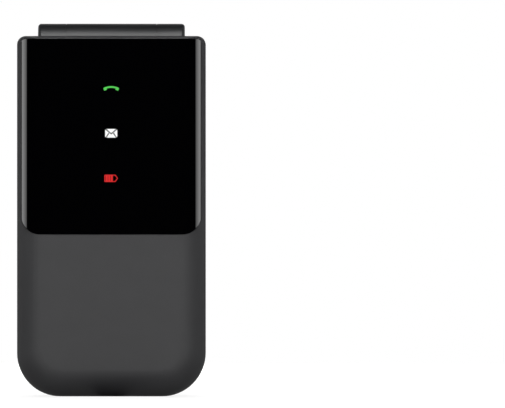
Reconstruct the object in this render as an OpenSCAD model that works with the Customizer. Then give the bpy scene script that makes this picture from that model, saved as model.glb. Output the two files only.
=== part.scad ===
// Flip phone, closed and standing upright on the flat bottom ends of its two halves.
// X runs across it, Y from the lid at the front to the base at the back, Z up.
// The parting plane between the halves holds the hinge axis, which runs along X.

/* [Body] */
// Width of both halves
body_w = 54.5; // [53:0.5:58]
// Height of both halves, without the barrel that rises above them
body_h = 104.1; // [102:0.5:110]
// Depth of the lid in front of the hinge axis
lid_d = 7.37; // [7.2:0.1:8.5]
// Depth of the base behind the hinge axis
base_d = 11.54; // [11.4:0.1:13]
// Clear gap from the parting plane to either half
half_gap = 0.23; // [0.15:0.01:0.3]
// Radius of the top corners
top_r = 2.4; // [1.8:0.1:3]
// Radius of the bottom corners
bottom_r = 12.5; // [11:0.5:13.5]
// Wall of the moulded shells
wall = 1.3; // [1:0.1:1.6]
// Chamfer along the inner edge of each half
edge = 0.5; // [0.3:0.05:0.7]

/* [Lid] */
// Width of the rounded shoulder along the lid's sides
shoulder_w = 7.2; // [5:0.2:8]
// Height of the rounded shoulder along the lid's bottom
shoulder_h = 7.8; // [5:0.2:9]
// Depth of that shoulder
shoulder_d = 3.4; // [2.8:0.1:3.8]
// Rounding of the lid's top front edge
crest_r = 0.9; // [0.6:0.1:1.2]
// Rim of the lid beside the front window glass
glass_rim = 1.25; // [1:0.05:3]
// Height of the front window glass
glass_h = 56.3; // [50:0.5:60]
// Thickness of the front window glass
glass_t = 1.5; // [1.2:0.1:1.6]
// Radius of the glass's bottom corners
glass_r = 5.5; // [3:0.5:7]
// Width of the curved band along the glass's long edges
glass_edge = 1.75; // [1.2:0.05:2]
// Gap between the glass and the rim round it
glass_gap = 0.2; // [0.1:0.02:0.25]
// Depth of the lit icons in the glass
icon_t = 0.25; // [0.15:0.05:0.4]
// Frame of the lid beside the display window inside it
display_rim = 4.25; // [4:0.25:7]
// Height of the display window inside the lid
display_h = 64; // [56:1:68]

/* [Hinge] */
// Radius of the hinge barrel
barrel_r = 4.25; // [4:0.05:4.4]
// Overall length of the three knuckles
barrel_w = 42.4; // [40:0.2:44]
// Length of the centre knuckle
centre_w = 26.1; // [24:0.2:28]
// Height of the body's top edge above the hinge axis
axis_drop = 0.6; // [0.4:0.05:0.7]
// Gap between neighbouring knuckles
knuckle_gap = 0.15; // [0.1:0.05:0.25]
// Running clearance round a knuckle
barrel_play = 0.25; // [0.2:0.05:0.35]
// Largest opening angle of the lid
open_angle = 160; // [150:1:165]
// Radius of the spring cartridge in the centre knuckle
cartridge_r = 2.9; // [2.5:0.1:3.1]
// Radius of the shaft that the cartridge turns
shaft_r = 1.5; // [1.2:0.1:1.8]
// Radial play of the shaft and the bush
pin_play = 0.05; // [0.03:0.01:0.08]

/* [Base] */
// Depth of the silver trim's front edge
trim_y = 6.1; // [5.9:0.1:6.3]
// Width of the silver trim's bevel
trim_w = 1.15; // [0.9:0.05:1.2]
// Depth of the seam between chassis and back cover
seam_y = 7.55; // [7.5:0.05:7.9]
// Gap along that seam
seam_gap = 0.12; // [0.08:0.02:0.2]
// Distance below the top at which the seam starts to bend forward
seam_h = 11.1; // [9:0.1:14]
// How far the seam has bent forward at the top
seam_drop = 2.75; // [2.2:0.05:3]
// Distance below the top at which the back starts to slope forward
crown_h = 17.1; // [16.5:0.1:20]
// How far the back has come forward at the top
crown_drop = 5.3; // [4.8:0.1:5.6]
// Height over which the bottom of the back curves in
heel_z = 10; // [8:0.5:12]
// How far the back has curved in at the very bottom
heel_drop = 5.3; // [4.8:0.1:5.6]
// Inset of the back cover from the body's sides
cover_inset = 1.45; // [1.3:0.05:1.7]
// Wall of the back cover
cover_t = 1.0; // [0.8:0.05:1.1]
// Half width of the flat plateau on the back
plateau_x = 20.25; // [18:0.25:21]
// Width of the rounded ridge strip beside the plateau
ridge_w = 1.25; // [0.8:0.05:1.6]
// Drop across the ridge strip
ridge_drop = 0.18; // [0.1:0.02:0.3]
// Height at which the ridge strip begins to show
ridge_z = 48; // [40:1:60]
// Distance below the top at which the ridges start to spread
flare_h = 21.1; // [18:0.1:24]
// How much the ridges spread for each millimetre of height
flare_slope = 0.24; // [0.18:0.01:0.26]
// Height of the roll-over at the cover's edge
roll_h = 0.9; // [0.6:0.1:1.2]

/* [Camera] */
// Distance of the camera below the top
camera_drop = 12; // [11.5:0.1:12.3]
// Radius of the camera ring
camera_r = 3.8; // [3.4:0.1:4]
// Width of the square camera module
module_w = 8.6; // [7.6:0.1:8.8]
// Distance from the camera to the flash
flash_x = 8.25; // [7.5:0.25:9]
// Radius of the flash window
flash_r = 1.7; // [1.2:0.1:1.9]
// Half width of the hollow round the camera
scoop_x = 19.5; // [18:0.5:20]
// Half width of the hollow at the body's top
scoop_top_x = 24; // [22:0.5:25]
// Distance of the hollow's lower edge below the top
scoop_h = 16; // [15.9:0.1:16.6]
// Corner radius of the hollow
scoop_r = 9; // [6:0.5:11]
// Depth of the hollow's floor at its top, from the parting plane
scoop_floor = 8.4; // [8.3:0.1:8.8]
// Depth of the hollow's floor at the body's top edge
scoop_lip = 5.65; // [5.5:0.05:5.9]
// How far the camera's ring lies below the plateau
camera_sink = 1.9; // [1.6:0.1:2.2]
// How far the flash lies below the plateau
flash_sink = 2.3; // [2.1:0.1:2.4]

/* [Socket] */
// Distance of the socket's centre below the top
usb_drop = 16.6; // [16:0.1:20]
// Length of the socket's flared mouth
usb_w = 8.4; // [8:0.1:8.6]
// Width of that mouth
usb_h = 3.05; // [2.9:0.05:3.2]
// Depth of the mouth's front edge
usb_y = 2.8; // [2.7:0.05:2.9]
// Sheet thickness of the socket's shell
usb_t = 0.3; // [0.25:0.05:0.35]

/* [Keypad] */
// Face plate left beside the number keys
keypad_rim = 4.55; // [4.3:0.05:6]
// Distance between the rows of number keys
row_pitch = 10.6; // [10:0.1:10.8]
// Gap between neighbouring keys
key_gap = 1.4; // [1.3:0.1:1.8]
// Height of the lowest row's centre
first_row_z = 12.4; // [12:0.2:13]
// Height of the row with the call key
function_h = 6.6; // [6:0.2:7.5]
// Radius of the direction ring
nav_r = 10.5; // [9.5:0.25:10.75]
// Radius of the centre key
ok_r = 4.6; // [4:0.2:5]
// Gap between the centre key and the ring
ok_gap = 0.35; // [0.3:0.05:0.45]
// Corner radius of the keys
key_r = 1.6; // [1:0.1:2]
// Travel of every key
key_travel = 0.3; // [0.2:0.05:0.35]
// Play between a key and its opening
key_play = 0.15; // [0.1:0.05:0.2]
// Depth of the keypad's recess
recess_d = 0.35; // [0.2:0.05:0.4]
// Thickness of the face plate under the keypad
face_t = 1.1; // [1:0.05:1.2]

/* [Inside] */
// Depth of the main board's front face
board_y = 2.6; // [2.55:0.05:2.65]
// Thickness of both circuit boards
board_t = 0.8; // [0.6:0.1:0.8]
// Thickness of the chassis plate
chassis_t = 0.8; // [0.6:0.1:0.9]
// Width of the battery
battery_w = 39; // [36:0.5:39.5]
// Height of the battery
battery_h = 54; // [48:1:56]
// Height of the battery's lower edge
battery_z = 14; // [13:0.5:16]
// Clearance between parts that lie against each other
fit = 0.1; // [0.05:0.01:0.15]
// Width of the larger shielding can, over the processor
can_w = 30; // [26:1:34]
// Height of that can
can_h = 22; // [18:1:24]
// Width of the smaller shielding can, over the radio
radio_can_w = 26; // [22:1:30]
// Height of that can
radio_can_h = 16; // [12:1:18]
// Width of the SIM holder
sim_w = 16; // [15:0.5:18]
// Height of the SIM holder
sim_h = 13; // [12:0.5:15]
// Radius of the coin-shaped vibration motor
motor_r = 4; // [3.5:0.25:4.5]
// Width of the antenna foil along the bottom
antenna_w = 40; // [36:1:42]
// Height of that foil
antenna_h = 6; // [5:0.5:7]
// Depth that the socket reaches into the base
usb_l = 5; // [4.5:0.1:5.5]
// Length of the closing magnet
magnet_h = 6; // [4:0.5:8]

/* [Hidden] */
$fn = 64;
MATTE = "#474849";
BLACK = "#161617";
GLOSS = "#0c0c0d";
SILVER = "#b9babb";
STEEL = "#9a9c9e";
BOARD = "#1f5a3a";

parting_y = (lid_d - base_d) / 2;
axis_z = body_h - axis_drop;
seam_z = body_h - seam_h;
crown_z = body_h - crown_h;
camera_z = body_h - camera_drop;
scoop_z = body_h - scoop_h;
usb_z = body_h - usb_drop;
glass_w = body_w - 2 * glass_rim;
display_w = body_w - 2 * display_rim;
column_pitch = (body_w - 2 * keypad_rim + key_gap) / 3;
scoop_top_z = axis_z - barrel_r - barrel_play;
cavity_top_z = scoop_top_z - 0.9;
face_back = half_gap + face_t;
chassis_y = trim_y - chassis_t;
shell_x = body_w / 2 - wall;
lid_panel_t = 0.8;
bezel_t = 1.1;

// Lid depths, counted forward from the parting plane
bezel_back = half_gap + bezel_t;
glass_back = lid_d - glass_t;
lid_floor = glass_back - lid_panel_t;
window_t = 0.7;
screw_head_y = half_gap + 0.4;
panel_t = 1.5;
window_y = half_gap + 0.05;
panel_y = window_y + window_t + fit / 2;
lid_board_y = panel_y + panel_t + fit;
glass_top_z = body_h - crest_r;
glass_z = glass_top_z - glass_h;
icon_pitch = 13;
icon_top_z = glass_top_z - 14.2;

// Keypad heights, built up from the lowest row
key_w = column_pitch - key_gap;
key_h = row_pitch - key_gap;
function_z = first_row_z + 3.5 * row_pitch + key_gap / 2 + function_h / 2;
nav_z = function_z + function_h / 2 + key_gap + nav_r;
soft_outer_x = body_w / 2 - keypad_rim + 0.7;
soft_inner_x = ok_r + 4;
flange = 0.4;
flange_t = 0.3;
key_top = half_gap + 0.05;
dome_y = face_back + fit / 2 + flange_t + 0.2 + key_travel + 0.05;

ROWS = [["key_star", "key_0", "key_hash"], ["key_7", "key_8", "key_9"],
        ["key_4", "key_5", "key_6"], ["key_1", "key_2", "key_3"]];
NUMBER_KEYS = [for (r = [0:3], c = [0:2])
    [ROWS[r][c], (c - 1) * column_pitch, first_row_z + r * row_pitch, key_h]];
FUNCTION_KEYS = [for (c = [0:2])
    [["call_key", "clear_key", "end_key"][c], (c - 1) * column_pitch, function_z, function_h]];
PLAIN_KEYS = concat(NUMBER_KEYS, FUNCTION_KEYS);

// ---- Shared shapes ----

module placed() translate([0, parting_y, 0]) children();

// A shape drawn in front view, made solid from depth y0 to y1
module slab(y0, y1) translate([0, y1, 0]) rotate([90, 0, 0]) linear_extrude(y1 - y0) children();

// A shape drawn in side view (depth, height), made solid from x0 to x1
module along_x(x0, x1) translate([x0, 0, 0]) rotate([90, 0, 90]) linear_extrude(x1 - x0) children();

module x_cylinder(x0, x1, r) translate([x0, 0, axis_z]) rotate([0, 90, 0]) cylinder(h = x1 - x0, r = r);

module y_cylinder(y0, y1, r, x, z) translate([x, y1, z]) rotate([90, 0, 0]) cylinder(h = y1 - y0, r = r);

// Range of a given half width round a centre
function around(centre, half) = [centre - half, centre + half];

module box(x, y, z) translate([x[0], y[0], z[0]]) cube([x[1] - x[0], y[1] - y[0], z[1] - z[0]]);

module corner_waste(r) difference() {
    translate([-1, -1]) square(r + 1);
    translate([r, r]) circle(r);
}

// Rectangle centred on x = 0 from z0 to z1, with its own top and bottom corner radius
module round_rect(w, z0, z1, rt, rb) difference() {
    translate([-w / 2, z0]) square([w, z1 - z0]);
    for (m = [0, 1]) mirror([m, 0]) translate([-w / 2, 0]) {
        translate([0, z0]) corner_waste(rb);
        translate([0, z1]) mirror([0, 1]) corner_waste(rt);
    }
}

// The body's outline in front view, set in at the sides and bottom
module outline(inset, top = 0) round_rect(
    body_w - 2 * inset, inset, body_h - top, max(top_r - inset, 0.5), bottom_r - inset);

// ---- Lofted shells ----

function arc(x, z, r, from, to, n) = [for (i = [0:n])
    let (a = from + (to - from) * i / n) [x + r * cos(a), z + r * sin(a)]];

// One ring of a shell at depth y, set in at the sides, the bottom and the top
function ring(y, side, bottom, top) =
    let (rb = bottom_r - side, rt = max(top_r - side, 0.3),
         x = body_w / 2 - side, z = body_h - top)
    [for (p = concat(arc(rb - x, bottom + rb, rb, 180, 270, 16),
                     arc(x - rb, bottom + rb, rb, 270, 360, 16),
                     arc(x - rt, z - rt, rt, 0, 90, 8),
                     arc(rt - x, z - rt, rt, 90, 180, 8))) [p[0], y, p[1]]];

// Inset of a quarter round of radius r at a depth below its crest
function round_inset(depth, r) = depth < r ? r - sqrt(r * r - (r - depth) * (r - depth)) : 0;

module loft(rings) {
    n = len(rings[0]);
    last = len(rings) - 1;
    polyhedron(
        points = [for (r = rings) each r],
        faces = concat(
            [[for (i = [n - 1:-1:0]) i], [for (i = [0:n - 1]) last * n + i]],
            [for (k = [0:last - 1], i = [0:n - 1], t = [0, 1]) let (j = (i + 1) % n)
                t == 0 ? [k * n + i, k * n + j, (k + 1) * n + j]
                       : [k * n + i, (k + 1) * n + j, (k + 1) * n + i]]));
}

SHOULDER_STEPS = 9;

module lid_form() loft(concat(
    [for (i = [SHOULDER_STEPS:-1:0])
        let (a = 90 * i / SHOULDER_STEPS, depth = shoulder_d * (1 - sin(a)))
        ring(depth - lid_d, shoulder_w * (1 - cos(a)), shoulder_h * (1 - cos(a)),
             round_inset(depth, crest_r))],
    [ring(-half_gap - edge, 0, 0, 0), ring(-half_gap, edge, edge, 0)]));

module base_form() loft([
    ring(half_gap, edge, edge, 0), ring(half_gap + edge, 0, 0, 0), ring(trim_y, 0, 0, 0)]);

// ---- Hinge ----

// Wedge cut from the inner top edge of a half, so that the lid clears the base when it is open
module top_relief(side) along_x(-body_w / 2 - 1, body_w / 2 + 1) mirror([side < 0 ? 1 : 0, 0])
    let (slope = tan((180 - open_angle) / 2), reach = (axis_drop + fit) / slope)
    polygon([[-1, axis_z - fit], [0, axis_z - fit], [reach, body_h], [reach, body_h + 1], [-1, body_h + 1]]);

// One outer knuckle, rounded at its outer end
module knuckle() translate([centre_w / 2 + knuckle_gap, 0, axis_z]) rotate([0, 90, 0]) rotate_extrude()
    let (l = (barrel_w - centre_w) / 2 - knuckle_gap, r = 1)
    difference() {
        square([barrel_r, l]);
        difference() {
            translate([barrel_r - r, l - r]) square(r + 1);
            translate([barrel_r - r, l - r]) circle(r);
        }
    }

cap_t = 0.9;
cap_r = 3.1;
bush_l = 5;
flex_w = 5;
flex_x = -7.5;

module both_sides() for (m = [0, 1]) mirror([m, 0, 0]) children();

// ---- Lid ----

module lid_outer_shell() color(MATTE) placed() difference() {
    union() {
        difference() {
            lid_form();
            // Room for the works, in two depths so that the shoulder keeps its wall
            slab(-lid_floor, 1) outline(wall, body_h - cavity_top_z);
            slab(-glass_back, 1) round_rect(
                body_w - 2 * (wall + shoulder_w / 3), wall + shoulder_h / 2, glass_z - 1, 2, bottom_r - wall - shoulder_w / 3);
            // Seat of the inner shell
            slab(-half_gap - edge, 1) round_rect(body_w + 2, -1, scoop_top_z, 0.1, 0.1);
            top_relief(-1);
        }
        both_sides() knuckle();
        // Posts for the four screws
        lid_screw_places() y_cylinder(-lid_floor - 0.1, -bezel_back - fit, 1.9, 0, 0);
    }
    // Pocket of the window glass
    slab(-lid_d - 1, -glass_back) glass_outline(glass_gap);
    // Room for the centre knuckle
    x_cylinder(-centre_w / 2 - knuckle_gap, centre_w / 2 + knuckle_gap, barrel_r + barrel_play);
    // Bores for the shaft on the right, and for the bush on the left
    x_cylinder(0, barrel_w / 2 - cap_t - 1, shaft_r);
    x_cylinder(1 - barrel_w / 2 + cap_t, 0, bush_r());
    both_sides() x_cylinder(barrel_w / 2 - cap_t, barrel_w, cap_r + fit / 2);
    lid_screw_places() y_cylinder(-lid_floor + 0.3, 1, 0.6, 0, 0);
}

function bush_r() = cartridge_r - 0.3;

module lid_screw_places() for (x = [-1, 1], z = [bottom_r - 3, cavity_top_z - 3.2])
    translate([x * (shell_x - 3.2), 0, z]) children();

module glass_outline(grow) round_rect(
    glass_w + 2 * grow, glass_z - grow, glass_top_z + grow, 1.2 + grow, glass_r + grow);

// Flat front window with both long edges rounded off
module lid_glass() color(GLOSS) placed() difference() {
    intersection() {
        slab(-lid_d, -glass_back - fit / 4) glass_outline(0);
        linear_extrude(body_h) glass_section();
    }
    slab(-lid_d - 1, -lid_d + icon_t) {
        call_icon(fit / 4);
        message_icon(fit / 4);
        battery_icon(fit / 4);
    }
}

// Cross section of the glass, with an arc along either side that starts at a crease and grows steeper
module glass_section() let (n = 6, from = 8, to = 32, r = glass_edge / (sin(to) - sin(from)))
    polygon([for (m = [-1, 1], i = [0:n + 1]) let (k = m < 0 ? n + 1 - i : i, a = from + (to - from) * min(k, n) / n)
        [m * (glass_w / 2 - glass_edge + r * (sin(a) - sin(from))),
         k > n ? 0 : r * (cos(from) - cos(a)) - lid_d]]);

// The three icons, in front view
module call_icon(grow) translate([0, icon_top_z]) {
    w = 4.4;
    drop = 0.5;
    r = (w * w / 4 + drop * drop) / (2 * drop);
    difference() {
        translate([0, 0.62 - r]) circle(r + grow);
        translate([0, 0.62 - r]) circle(r - 0.5 - grow);
        for (m = [0, 1]) mirror([m, 0]) translate([w / 2 + grow, -2 * r]) square([2 * r, 3 * r]);
        translate([-r, -2 * r]) square([2 * r, 2 * r - 0.4 - grow]);
    }
    for (m = [-1, 1]) translate([m * 1.72, -0.22]) rotate(-20 * m)
        square([0.85 + 2 * grow, 0.72 + 2 * grow], center = true);
}

// An envelope with clipped corners, and the fold lines of its flap left dark
module message_icon(grow) translate([0, icon_top_z - icon_pitch]) let (w = 3.5, h = 2.5, c = 0.3, t = 0.3)
    difference() {
        polygon([for (m = [[1, 1], [1, -1], [-1, -1], [-1, 1]], k = [0, 1])
            let (first = (m[0] * m[1] > 0) == (k == 0))
            [m[0] * (w / 2 + grow - (first ? c : 0)), m[1] * (h / 2 + grow - (first ? 0 : c))]]);
        if (grow == 0) for (m = [0, 1]) mirror([m, 0]) {
            polygon([[-w / 2, h / 2 - t / 2], [0, -0.35], [0, -0.35 + 1.3 * t], [-w / 2, h / 2 + t]]);
            polygon([[-w / 2, -h / 2 - t / 2], [-0.8, 0.15], [-0.55, -0.08], [-w / 2 + t, -h / 2 - t / 2]]);
        }
    }

// A battery with a pointed end, and bars for its charge
module battery_icon(grow) translate([0, icon_top_z - 2 * icon_pitch]) let (w = 3.9, h = 2.1, t = 0.24, tip = 0.75) {
    difference() {
        battery_outline(w + 2 * grow, h + 2 * grow, tip);
        if (grow == 0) difference() {
            battery_outline(w - 2 * t, h - 2 * t, tip - t / 2);
            for (i = [0:2]) translate([0.38 - w / 2 + 0.72 * i, -h / 2]) square([0.6, h]);
        }
    }
}

module battery_outline(w, h, tip)
    polygon([[-w / 2, -h / 2], [w / 2 - tip, -h / 2], [w / 2, 0], [w / 2 - tip, h / 2], [-w / 2, h / 2]]);

module icon_call() color("#4ec84e") placed() slab(-lid_d, -lid_d + icon_t) call_icon(0);
module icon_message() color("#f2f2f2") placed() slab(-lid_d, -lid_d + icon_t) message_icon(0);
module icon_battery() color("#e0301e") placed() slab(-lid_d, -lid_d + icon_t) battery_icon(0);

window_top_z = cavity_top_z - 7;
earpiece_z = cavity_top_z - 3.4;

module window_outline(grow) round_rect(display_w + 2 * grow,
    window_top_z - display_h - grow, window_top_z + grow, 2 + grow, 2 + grow);

// Plate that closes the lid from inside and frames the display
module lid_inner_shell() color(BLACK) placed() difference() {
    union() {
        intersection() {
            lid_form();
            slab(-half_gap - edge + fit / 2, 0) round_rect(body_w + 2, -1, scoop_top_z - fit, 0.1, 0.1);
        }
        slab(-bezel_back, -half_gap - edge + fit) outline(wall + fit, body_h - cavity_top_z + fit);
    }
    slab(-window_y - window_t - fit / 2, 1) window_outline(fit / 2);
    slab(-2 * bezel_back, 1) round_rect(display_w - 3,
        window_top_z - display_h + 1.5, window_top_z - 1.5, 1, 1);
    // Earpiece slot, screw holes and bumper seats
    slab(-2 * bezel_back, 1) round_rect(9, earpiece_z - 0.9, earpiece_z + 0.9, 0.85, 0.85);
    lid_screw_places() {
        y_cylinder(-2 * bezel_back, 1, 0.7, 0, 0);
        y_cylinder(-screw_head_y - 0.4, 1, 1.7, 0, 0);
    }
}

module display_window() color(GLOSS) placed() slab(-window_y - window_t, -window_y) window_outline(0);

module display_panel() color("#33363b") placed() slab(-panel_y - panel_t, -panel_y)
    round_rect(display_w - 3 - 2 * fit, window_top_z - display_h + 1.5 + fit, window_top_z - 1.5 - fit, 1, 1);

module earpiece_mesh() color(STEEL) placed() difference() {
    slab(-bezel_back + 0.2, -half_gap - 0.3) round_rect(9 - fit, earpiece_z - 0.85, earpiece_z + 0.85, 0.8, 0.8);
    for (i = [-4:4]) y_cylinder(-bezel_back, 1, 0.22, i * 0.9, earpiece_z);
}

module earpiece_speaker() color("#2a2a2c") placed()
    slab(-lid_board_y, -bezel_back - fit / 4) round_rect(12, earpiece_z - 2.8, earpiece_z + 2.8, 1.2, 1.2);

module lid_board() color(BOARD) placed() difference() {
    slab(-lid_board_y - board_t, -lid_board_y) round_rect(
        display_w - 2, window_top_z - display_h + 2, cavity_top_z - 0.4, 1, 1);
    lid_screw_places() y_cylinder(-lid_d, 0, 2.1, 0, 0);
}

module icon_leds() color("#e9e7d8") placed() for (i = [0:2])
    box(around(0, 0.8), [-lid_floor + 0.05, -lid_board_y - board_t], around(icon_top_z - i * icon_pitch, 0.6));

module lid_screws() color(STEEL) placed() lid_screw_places() {
    y_cylinder(-screw_head_y - 0.38, -screw_head_y, 1.35, 0, 0);
    y_cylinder(-lid_floor + 0.5, -screw_head_y - 0.3, 0.58, 0, 0);
}

// Soft plugs that hide the screws and cushion the closing lid
module lid_bumpers() color("#202021") placed() lid_screw_places()
    y_cylinder(-screw_head_y + 0.02, -half_gap + 0.1, 1.6, 0, 0);

module lid_magnet() color(STEEL) placed()
    box([shell_x - 3.4, shell_x - 1.4], [-bezel_back - 1.6, -bezel_back - fit / 4],
        [glass_z - 6 - magnet_h, glass_z - 6]);

module hinge_shaft() color(STEEL) placed()
    x_cylinder(centre_w / 2 - 3, barrel_w / 2 - cap_t - 1 - fit, shaft_r);

module hinge_bush() color(STEEL) placed() difference() {
    x_cylinder(1 - barrel_w / 2 + cap_t + fit, -centre_w / 2 + bush_l, bush_r());
    x_cylinder(-barrel_w, barrel_w, bush_r() - 0.6);
}

// Thin washers that keep the knuckles apart and close the seams between them
module hinge_washers() color(BLACK) placed() both_sides() difference() {
    x_cylinder(centre_w / 2 + knuckle_gap / 8, centre_w / 2 + knuckle_gap * 7 / 8, barrel_r - 0.2);
    x_cylinder(0, centre_w, bush_r() + 2 * pin_play);
}

module hinge_caps() color(MATTE) placed() both_sides()
    x_cylinder(barrel_w / 2 - cap_t + fit / 4, barrel_w / 2 - fit / 2, cap_r);

// ---- Base ----

// Radius of an arc that starts upright and bends by drop over a length h, and its bend after dz
function arc_r(h, drop) = (h * h + drop * drop) / (2 * drop);
function bend(dz, h, drop) = dz < 0 ? 0 : arc_r(h, drop) - sqrt(pow(arc_r(h, drop), 2) - dz * dz);

// Depth of the seam between chassis and cover, and of the back's plateau, at a height z
function seam_depth(z) = seam_y - bend(z - seam_z, seam_h, seam_drop);
function back_depth(z) = base_d - bend(z - crown_z, crown_h, crown_drop);

// Side view of the room in front of the seam
module seam_profile(extra) difference() {
    translate([-1, -1]) square([seam_y + extra + 1, body_h + 2]);
    difference() {
        translate([-1, seam_z]) square([seam_y + 3, body_h]);
        translate([seam_y - arc_r(seam_h, seam_drop), seam_z]) circle(arc_r(seam_h, seam_drop) + extra, $fn = 256);
    }
}

// Side view of the back's heel, which curves in at the bottom
module heel_profile(inset) let (r = arc_r(heel_z, heel_drop)) difference() {
    square([base_d + 1 - inset, body_h + 1]);
    difference() {
        translate([-1, -1]) square([base_d + 3, heel_z + 1]);
        translate([base_d - r, heel_z]) circle(r - inset, $fn = 128);
    }
}

// One ring of the back at height z: plateau, ridge strips, flat side facets and rolled edges
function back_ring(z, inset) =
    let (y = back_depth(z) - inset,
         x = plateau_x - inset / 2 + flare_slope * (sqrt(pow(max(z - body_h + flare_h, 0), 2) + 36) - 6),
         edge_x = body_w / 2 - cover_inset - inset,
         foot = seam_depth(z) + seam_gap,
         fade = min(max((z - ridge_z) / (0.6 * ridge_z), 0), 1),
         crease = [x + ridge_w, y - ridge_drop * fade],
         corner = [edge_x, foot + max(roll_h - inset / 2, 0.1)],
         half = concat(
             [for (i = [0:3]) [x + ridge_w * i / 3, y - ridge_drop * fade * i * i / 9]],
             // Facet, then a curve from its last quarter down to the seam
             [for (i = [0:3]) let (t = i / 3, a = crease + 0.75 * (corner - crease))
                 (1 - t) * (1 - t) * a + 2 * t * (1 - t) * corner + t * t * [edge_x, foot]],
             [[edge_x, 0]]),
         n = len(half) - 1)
    concat([for (i = [n:-1:0]) [-half[i][0], half[i][1], z]], [for (p = half) [p[0], p[1], z]]);

BACK_HEIGHTS = concat([-1, ridge_z, ridge_z * 1.2, ridge_z * 1.4, ridge_z * 1.6],
    [for (i = [0:20]) body_h - flare_h + (flare_h + 0.4) * i / 20]);

module back_form(inset) loft([for (z = BACK_HEIGHTS) back_ring(z, inset)]);

module seam_cut(extra) intersection() {
    children();
    along_x(-body_w, body_w) seam_profile(extra);
}

screw_x = 10;
screw_z = wall + 2.9;

// Two screws below the keypad and two beside the camera
module chassis_screw_places() both_sides() {
    translate([screw_x, 0, screw_z]) children();
    translate([shell_x - 3, 0, cavity_top_z - 2.6]) children();
}

// Moulded front half of the base, with the keypad's openings and the centre knuckle
module base_front_shell() color(MATTE) placed() difference() {
    union() {
        seam_cut(-seam_gap) difference() {
            base_form();
            slab(face_back, trim_y + 1) outline(wall, body_h - cavity_top_z);
            top_relief(1);
            // Room for the outer knuckles
            both_sides() x_cylinder(centre_w / 2, barrel_w / 2 + knuckle_gap + fit, barrel_r + barrel_play);
            keypad_openings();
        }
        x_cylinder(-centre_w / 2, centre_w / 2, barrel_r);
        chassis_screw_places() y_cylinder(face_back - 0.1, chassis_y - fit / 4, 1.5, 0, 0);
    }
    // Bores for the cartridge and its shaft on the right, and for the bush on the left
    x_cylinder(-0.5, centre_w / 2 + 1, cartridge_r);
    x_cylinder(-centre_w / 2 - 1, -1.5, bush_r() + pin_play);
    // Way for the flex cable from the barrel to the board
    box([flex_x - 0.4, flex_x + flex_w + 0.4], [1, chassis_y], [cavity_top_z - 1, axis_z - barrel_r / 3]);
    usb_mouth(fit);
    // Microphone hole
    y_cylinder(0, face_back + 1, 0.5, 0, microphone_z);
    chassis_screw_places() y_cylinder(face_back + 0.4, trim_y, 0.6, 0, 0);
}

module keypad_openings() {
    slab(0, half_gap + recess_d) round_rect(body_w - 5.6, 2.8, nav_z + nav_r + 2.4, 4, bottom_r - 2.8);
    slab(0, face_back + 1) {
        for (k = PLAIN_KEYS) key_outline(k, key_play);
        translate([0, nav_z]) circle(nav_r + key_play);
        for (m = [0, 1]) mirror([m, 0]) soft_outline(key_play);
    }
}

module key_outline(k, grow) translate([k[1], 0]) round_rect(
    key_w + 2 * grow, k[2] - k[3] / 2 - grow, k[2] + k[3] / 2 + grow, key_r + grow, key_r + grow);

// Side key that follows the direction ring
module soft_outline(grow) difference() {
    translate([(soft_outer_x + soft_inner_x) / 2, 0]) round_rect(
        soft_outer_x - soft_inner_x + 2 * grow, nav_z - nav_r - grow, nav_z + nav_r + grow, 3 + grow, 3 + grow);
    translate([0, nav_z]) circle(nav_r + key_gap - grow);
}

// A key: its cap, a flange that holds it behind the face plate, and a plunger over its dome
module key_body(x, z) {
    slab(key_top, face_back + fit / 2 + 0.1) children(0);
    slab(face_back + fit / 2, face_back + fit / 2 + flange_t) children(1);
    y_cylinder(face_back + fit / 2, face_back + fit / 2 + flange_t + 0.2, 1.2, x, z);
}

module plain_key(k) color("#3a3b3d") placed() key_body(k[1], k[2]) {
    key_outline(k, 0);
    key_outline(k, flange);
}

module nav_ring() color("#8e9092") placed() difference() {
    union() {
        slab(key_top, face_back + fit / 2 + 0.1) translate([0, nav_z]) circle(nav_r);
        slab(face_back + fit / 2, face_back + fit / 2 + flange_t) translate([0, nav_z]) circle(nav_r + flange);
        for (a = [0:90:270]) y_cylinder(face_back, face_back + fit / 2 + flange_t + 0.2, 1.2,
            0.72 * nav_r * cos(a), nav_z + 0.72 * nav_r * sin(a));
    }
    y_cylinder(-1, 2 * face_back, ok_r + ok_gap, 0, nav_z);
}

// The film under it holds this key, so it has no flange
module centre_key() color("#3a3b3d") placed() key_body(0, nav_z) {
    translate([0, nav_z]) circle(ok_r);
    translate([0, nav_z]) circle(ok_r);
}

module soft_key(m) color("#3a3b3d") placed() mirror([m, 0, 0])
    key_body((soft_outer_x + nav_r) / 2 + 1, nav_z) {
        soft_outline(0);
        soft_outline(flange);
    }

module keypad_sheet() color("#c9c4b4") placed() {
    slab(board_y - 0.12, board_y - 0.02) difference() {
        outline(wall + 1.2, body_h - nav_z - nav_r - 1);
        for (x = [-screw_x, screw_x]) translate([x, screw_z]) circle(1.8);
    }
    for (p = DOMES) y_cylinder(dome_y, board_y - 0.12, 2, p[0], p[1]);
}

DOMES = concat([for (k = PLAIN_KEYS) [k[1], k[2]]],
    [for (a = [0:90:270]) [0.72 * nav_r * cos(a), nav_z + 0.72 * nav_r * sin(a)]],
    [[0, nav_z]],
    [for (m = [-1, 1]) [m * ((soft_outer_x + nav_r) / 2 + 1), nav_z]]);

module main_board() color(BOARD) placed() difference() {
    slab(board_y, board_y + board_t) outline(wall + 0.3, body_h - cavity_top_z + 0.3);
    // Notch round the sunk socket, and holes for the screw posts
    box([shell_x - usb_l - 0.6, body_w], [0, 2 * board_y], around(usb_z, usb_w / 2 + 0.3));
    chassis_screw_places() y_cylinder(0, chassis_y, 1.7, 0, 0);
}

can_y = board_y + board_t;
can_z = bottom_r + 7.5;
can_gap = 4;
radio_can_z = can_z + can_h + can_gap;
sim_x = module_w / 2 + sim_w / 2 + 0.7;
sim_z = radio_can_z + radio_can_h + can_gap;

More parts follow.
